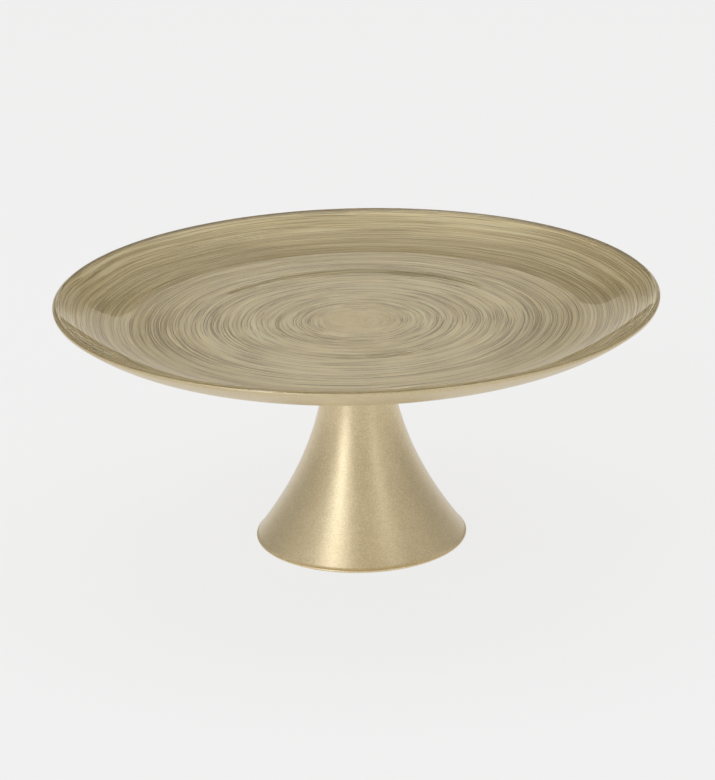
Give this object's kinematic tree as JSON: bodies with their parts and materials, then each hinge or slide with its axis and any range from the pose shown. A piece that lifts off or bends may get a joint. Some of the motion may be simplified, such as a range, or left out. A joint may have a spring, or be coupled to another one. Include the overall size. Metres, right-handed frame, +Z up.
{
  "type": "cake stand",
  "caption": "Round pedestal cake stand: shallow clear glass plate with a brushed gold underside on a flared hollow gold metal foot",
  "frame": {"origin": "Centre of the base, on the plane of the table", "axes": "+Z up along the shared axis of the foot and the plate, +X to the right and +Y away from a person standing in front; the stand is round, so front is only a convention"},
  "size_m": [0.3, 0.3, 0.13],
  "materials": {
    "clear_glass": "clear, polished pressed glass",
    "brushed_gold": "satin gold enamel laid on by hand in concentric brush strokes, seen through the glass",
    "smooth_gold": "smooth satin gold lacquer with a fine metallic grain",
    "adhesive": "cured structural adhesive, matt",
    "disc_coat": "satin gold coat on sheet steel",
    "zinc_steel": "bright zinc plating",
    "seat_rubber": "matt black rubber",
    "foot_coat": "satin champagne gold coat with a fine metallic grain on spun steel",
    "spring_steel": "dull zinc-plated spring steel",
    "ring_rubber": "soft matt translucent-grey rubber"
  },
  "bodies": {
    "root": {"glass_plate": "clear_glass", "brushed_enamel": "brushed_gold", "backing_lacquer": "smooth_gold", "bond_film": "adhesive", "mounting_disc": "disc_coat", "threaded_stud": "zinc_steel", "seat_gasket": "seat_rubber", "foot_shell": "foot_coat", "load_washer": "zinc_steel", "spring_washer": "spring_steel", "lock_nut": "zinc_steel", "base_ring": "ring_rubber"}
  },
  "joints": []
}
